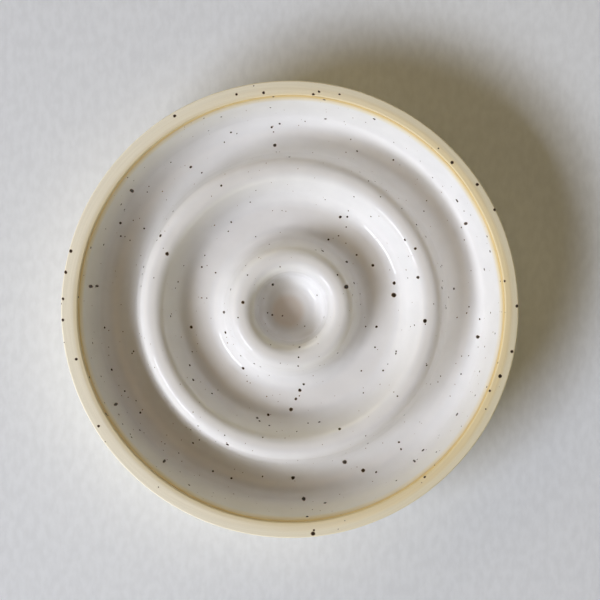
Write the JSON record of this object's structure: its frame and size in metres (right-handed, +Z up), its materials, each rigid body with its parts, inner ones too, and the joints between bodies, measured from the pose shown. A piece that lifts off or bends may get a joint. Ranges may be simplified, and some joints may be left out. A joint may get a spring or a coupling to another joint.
{
  "type": "soap dish",
  "caption": "Round thrown stoneware soap dish with a bare clay rim, a white glazed inside and two raised rings in its floor that lift the soap clear of the water.",
  "frame": {"origin": "on the table, under the middle of the foot ring", "axes": "+Z up along the axis that the dish was thrown about; +X to the right in the picture"},
  "size_m": [0.115, 0.115, 0.0205],
  "materials": {
    "stoneware": "bare fired buff clay, matt, with dark iron specks",
    "white_glaze": "glossy white glaze with dark iron specks, amber where it thins at its edge"
  },
  "bodies": {
    "root": {"stoneware_body": "stoneware", "glaze_lining": "white_glaze"}
  },
  "joints": []
}
